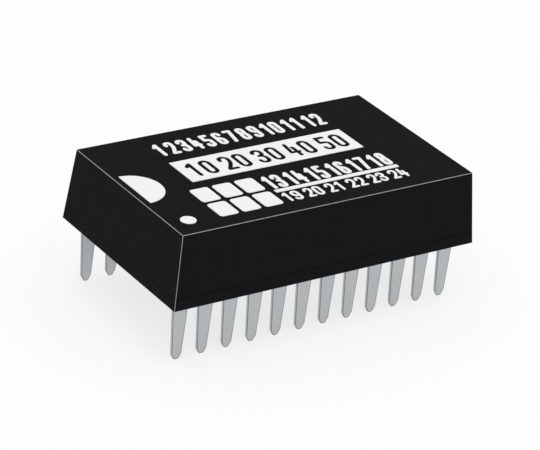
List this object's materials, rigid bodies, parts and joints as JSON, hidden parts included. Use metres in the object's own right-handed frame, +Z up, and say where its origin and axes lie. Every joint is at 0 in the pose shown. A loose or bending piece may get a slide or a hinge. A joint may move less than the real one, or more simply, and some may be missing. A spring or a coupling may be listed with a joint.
{
  "type": "nonvolatile memory module",
  "caption": "Encapsulated dual-in-line memory module: black case with leaning walls, white print, cast resin inside, two rows of flat tapered pins below.",
  "frame": {"origin": "middle of the pin pattern, on the surface that the pin tips stand on", "axes": "+X along the pin rows, away from the half-moon end; +Y from the row of pin 1 to the other row; +Z up"},
  "size_m": [0.0314, 0.0188, 0.0126],
  "materials": {
    "case_plastic": "fine moulded texture, black",
    "potting_resin": "cast surface, satin black",
    "board_laminate": "green solder mask",
    "chip_moulding": "moulded, dull black",
    "tin_plate": "matt tin plating",
    "solder": "satin solder",
    "cell_steel": "nickel-plated, satin",
    "nickel_strip": "rolled nickel strip",
    "diode_glass": "orange glass sleeve, tinned ends",
    "capacitor_ceramic": "tan ceramic, tinned ends",
    "resistor_ceramic": "black film on white ceramic, tinned ends",
    "white_ink": "screen-printed white ink"
  },
  "bodies": {
    "root": {"battery_cell": "cell_steel", "battery_tab_negative": "nickel_strip", "battery_tab_positive": "nickel_strip", "blocking_diode": "diode_glass", "capacitor_1": "capacitor_ceramic", "capacitor_2": "capacitor_ceramic", "case": "case_plastic", "circuit_board": "board_laminate", "half_moon_mark": "white_ink", "label_panel": "white_ink", "lower_numbers": "white_ink", "memory_chip": "chip_moulding", "memory_chip_leads": "tin_plate", "number_rule": "white_ink", "pin_01": "tin_plate", "pin_02": "tin_plate", "pin_03": "tin_plate", "pin_04": "tin_plate", "pin_05": "tin_plate", "pin_06": "tin_plate", "pin_07": "tin_plate", "pin_08": "tin_plate", "pin_09": "tin_plate", "pin_10": "tin_plate", "pin_11": "tin_plate", "pin_12": "tin_plate", "pin_13": "tin_plate", "pin_14": "tin_plate", "pin_15": "tin_plate", "pin_16": "tin_plate", "pin_17": "tin_plate", "pin_18": "tin_plate", "pin_19": "tin_plate", "pin_20": "tin_plate", "pin_21": "tin_plate", "pin_22": "tin_plate", "pin_23": "tin_plate", "pin_24": "tin_plate", "pin_one_dot": "white_ink", "pin_solder_joints": "solder", "potting": "potting_resin", "resistor_1": "resistor_ceramic", "resistor_2": "resistor_ceramic", "resistor_3": "resistor_ceramic", "small_numbers": "white_ink", "supply_monitor": "chip_moulding", "supply_monitor_leads": "tin_plate", "switch_transistor": "chip_moulding", "switch_transistor_leads": "tin_plate", "tick_boxes": "white_ink", "upper_numbers": "white_ink"}
  },
  "joints": []
}
